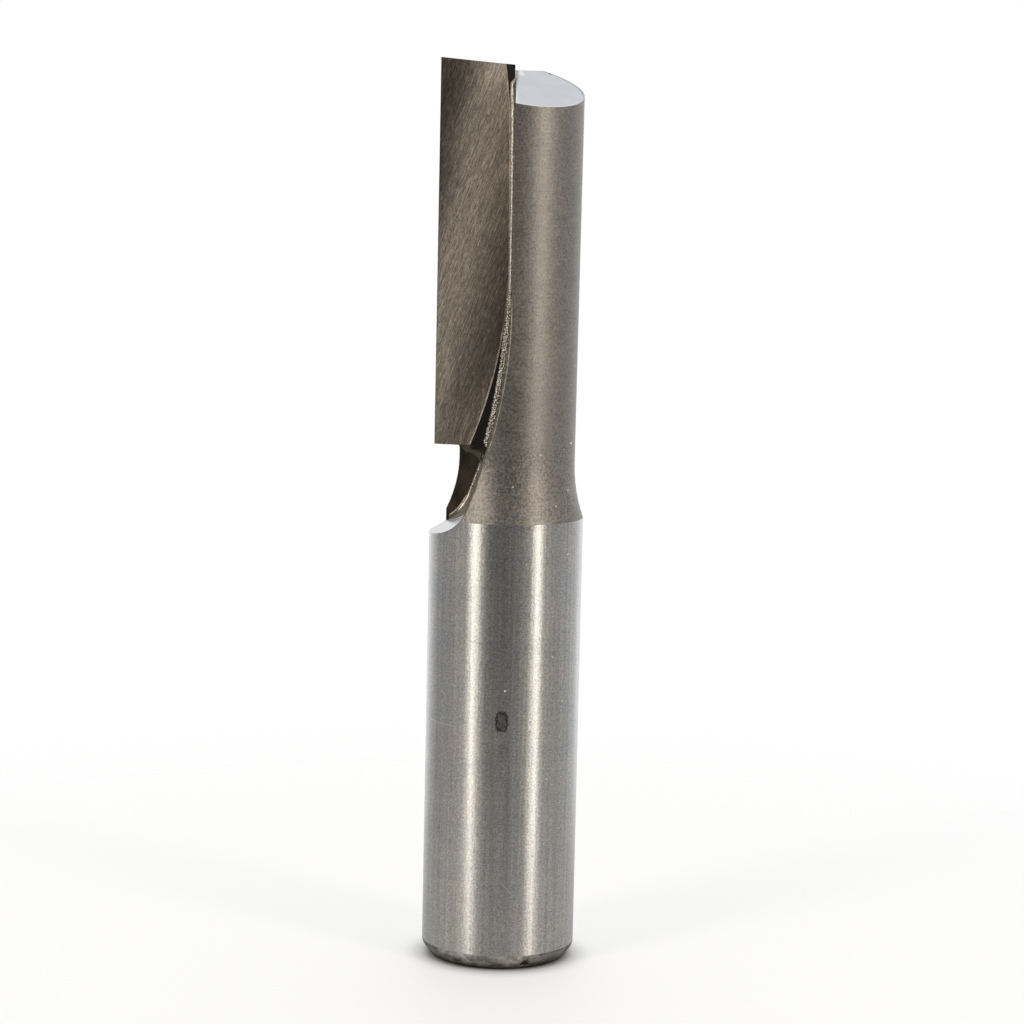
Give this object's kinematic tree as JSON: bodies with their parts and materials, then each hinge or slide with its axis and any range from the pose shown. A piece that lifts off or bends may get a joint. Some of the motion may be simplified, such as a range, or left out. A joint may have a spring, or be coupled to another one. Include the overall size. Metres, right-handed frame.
{
  "type": "straight router bit",
  "caption": "Straight router bit: a plain round collet shank, a hollow neck and a flat carbide tip brazed into an open flute.",
  "frame": {"origin": "middle of the shank's end face, on the axis", "axes": "+Z along the axis towards the cutting end; the flute opens towards -Y and the side cutting edge is on the -X side"},
  "size_m": [0.0126, 0.0126, 0.0745],
  "materials": {
    "steel": "ground shank, fine blasted neck and head",
    "carbide": "ground rake face, dark as sintered elsewhere",
    "braze": "beaded silver braze"
  },
  "bodies": {
    "root": {"steel_body": "steel", "carbide_tip": "carbide", "braze_joint": "braze"}
  },
  "joints": []
}
